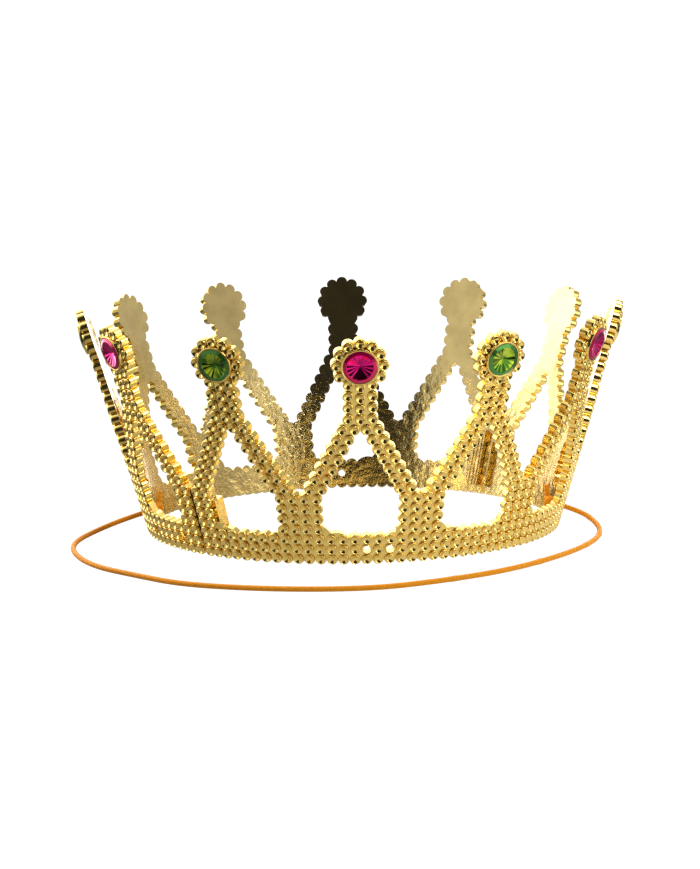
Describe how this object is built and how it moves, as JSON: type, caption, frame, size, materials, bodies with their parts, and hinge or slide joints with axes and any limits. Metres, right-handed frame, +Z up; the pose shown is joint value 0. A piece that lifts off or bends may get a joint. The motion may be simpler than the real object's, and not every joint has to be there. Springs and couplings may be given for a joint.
{
  "type": "costume crown",
  "caption": "Flared ring crown of two hooked half mouldings with bead-studded arched points, round heads with faceted gems, and an elastic knotted through the band.",
  "frame": {"origin": "centre of the circle that the crown stands on, at the lower edge of the band", "axes": "+Z up; the front point faces -Y; +X to the wearer's left, which is the right of someone looking at the front"},
  "size_m": [0.253, 0.2753, 0.1025],
  "materials": {
    "gold_shell": "moulded plastic, vacuum-metallised mirror gold on the beads, slightly satin on the back",
    "pink_gem": "clear tinted acrylic, faceted, foil backed",
    "green_gem": "clear tinted acrylic, faceted, foil backed",
    "glue": "dried clear glue",
    "elastic": "round braided elastic"
  },
  "bodies": {
    "root": {"front_half_panel": "gold_shell", "rear_half_panel": "gold_shell", "gem_01_green": "green_gem", "glue_dot_01": "glue", "gem_02_pink": "pink_gem", "glue_dot_02": "glue", "gem_03_green": "green_gem", "glue_dot_03": "glue", "gem_04_pink": "pink_gem", "glue_dot_04": "glue", "gem_05_green": "green_gem", "glue_dot_05": "glue", "gem_06_pink": "pink_gem", "glue_dot_06": "glue", "gem_07_green": "green_gem", "glue_dot_07": "glue", "gem_08_pink": "pink_gem", "glue_dot_08": "glue", "gem_09_green": "green_gem", "glue_dot_09": "glue", "gem_10_pink": "pink_gem", "glue_dot_10": "glue", "gem_11_green": "green_gem", "glue_dot_11": "glue", "gem_12_pink": "pink_gem", "glue_dot_12": "glue", "elastic_cord": "elastic", "left_knot": "elastic", "right_knot": "elastic"}
  },
  "joints": []
}
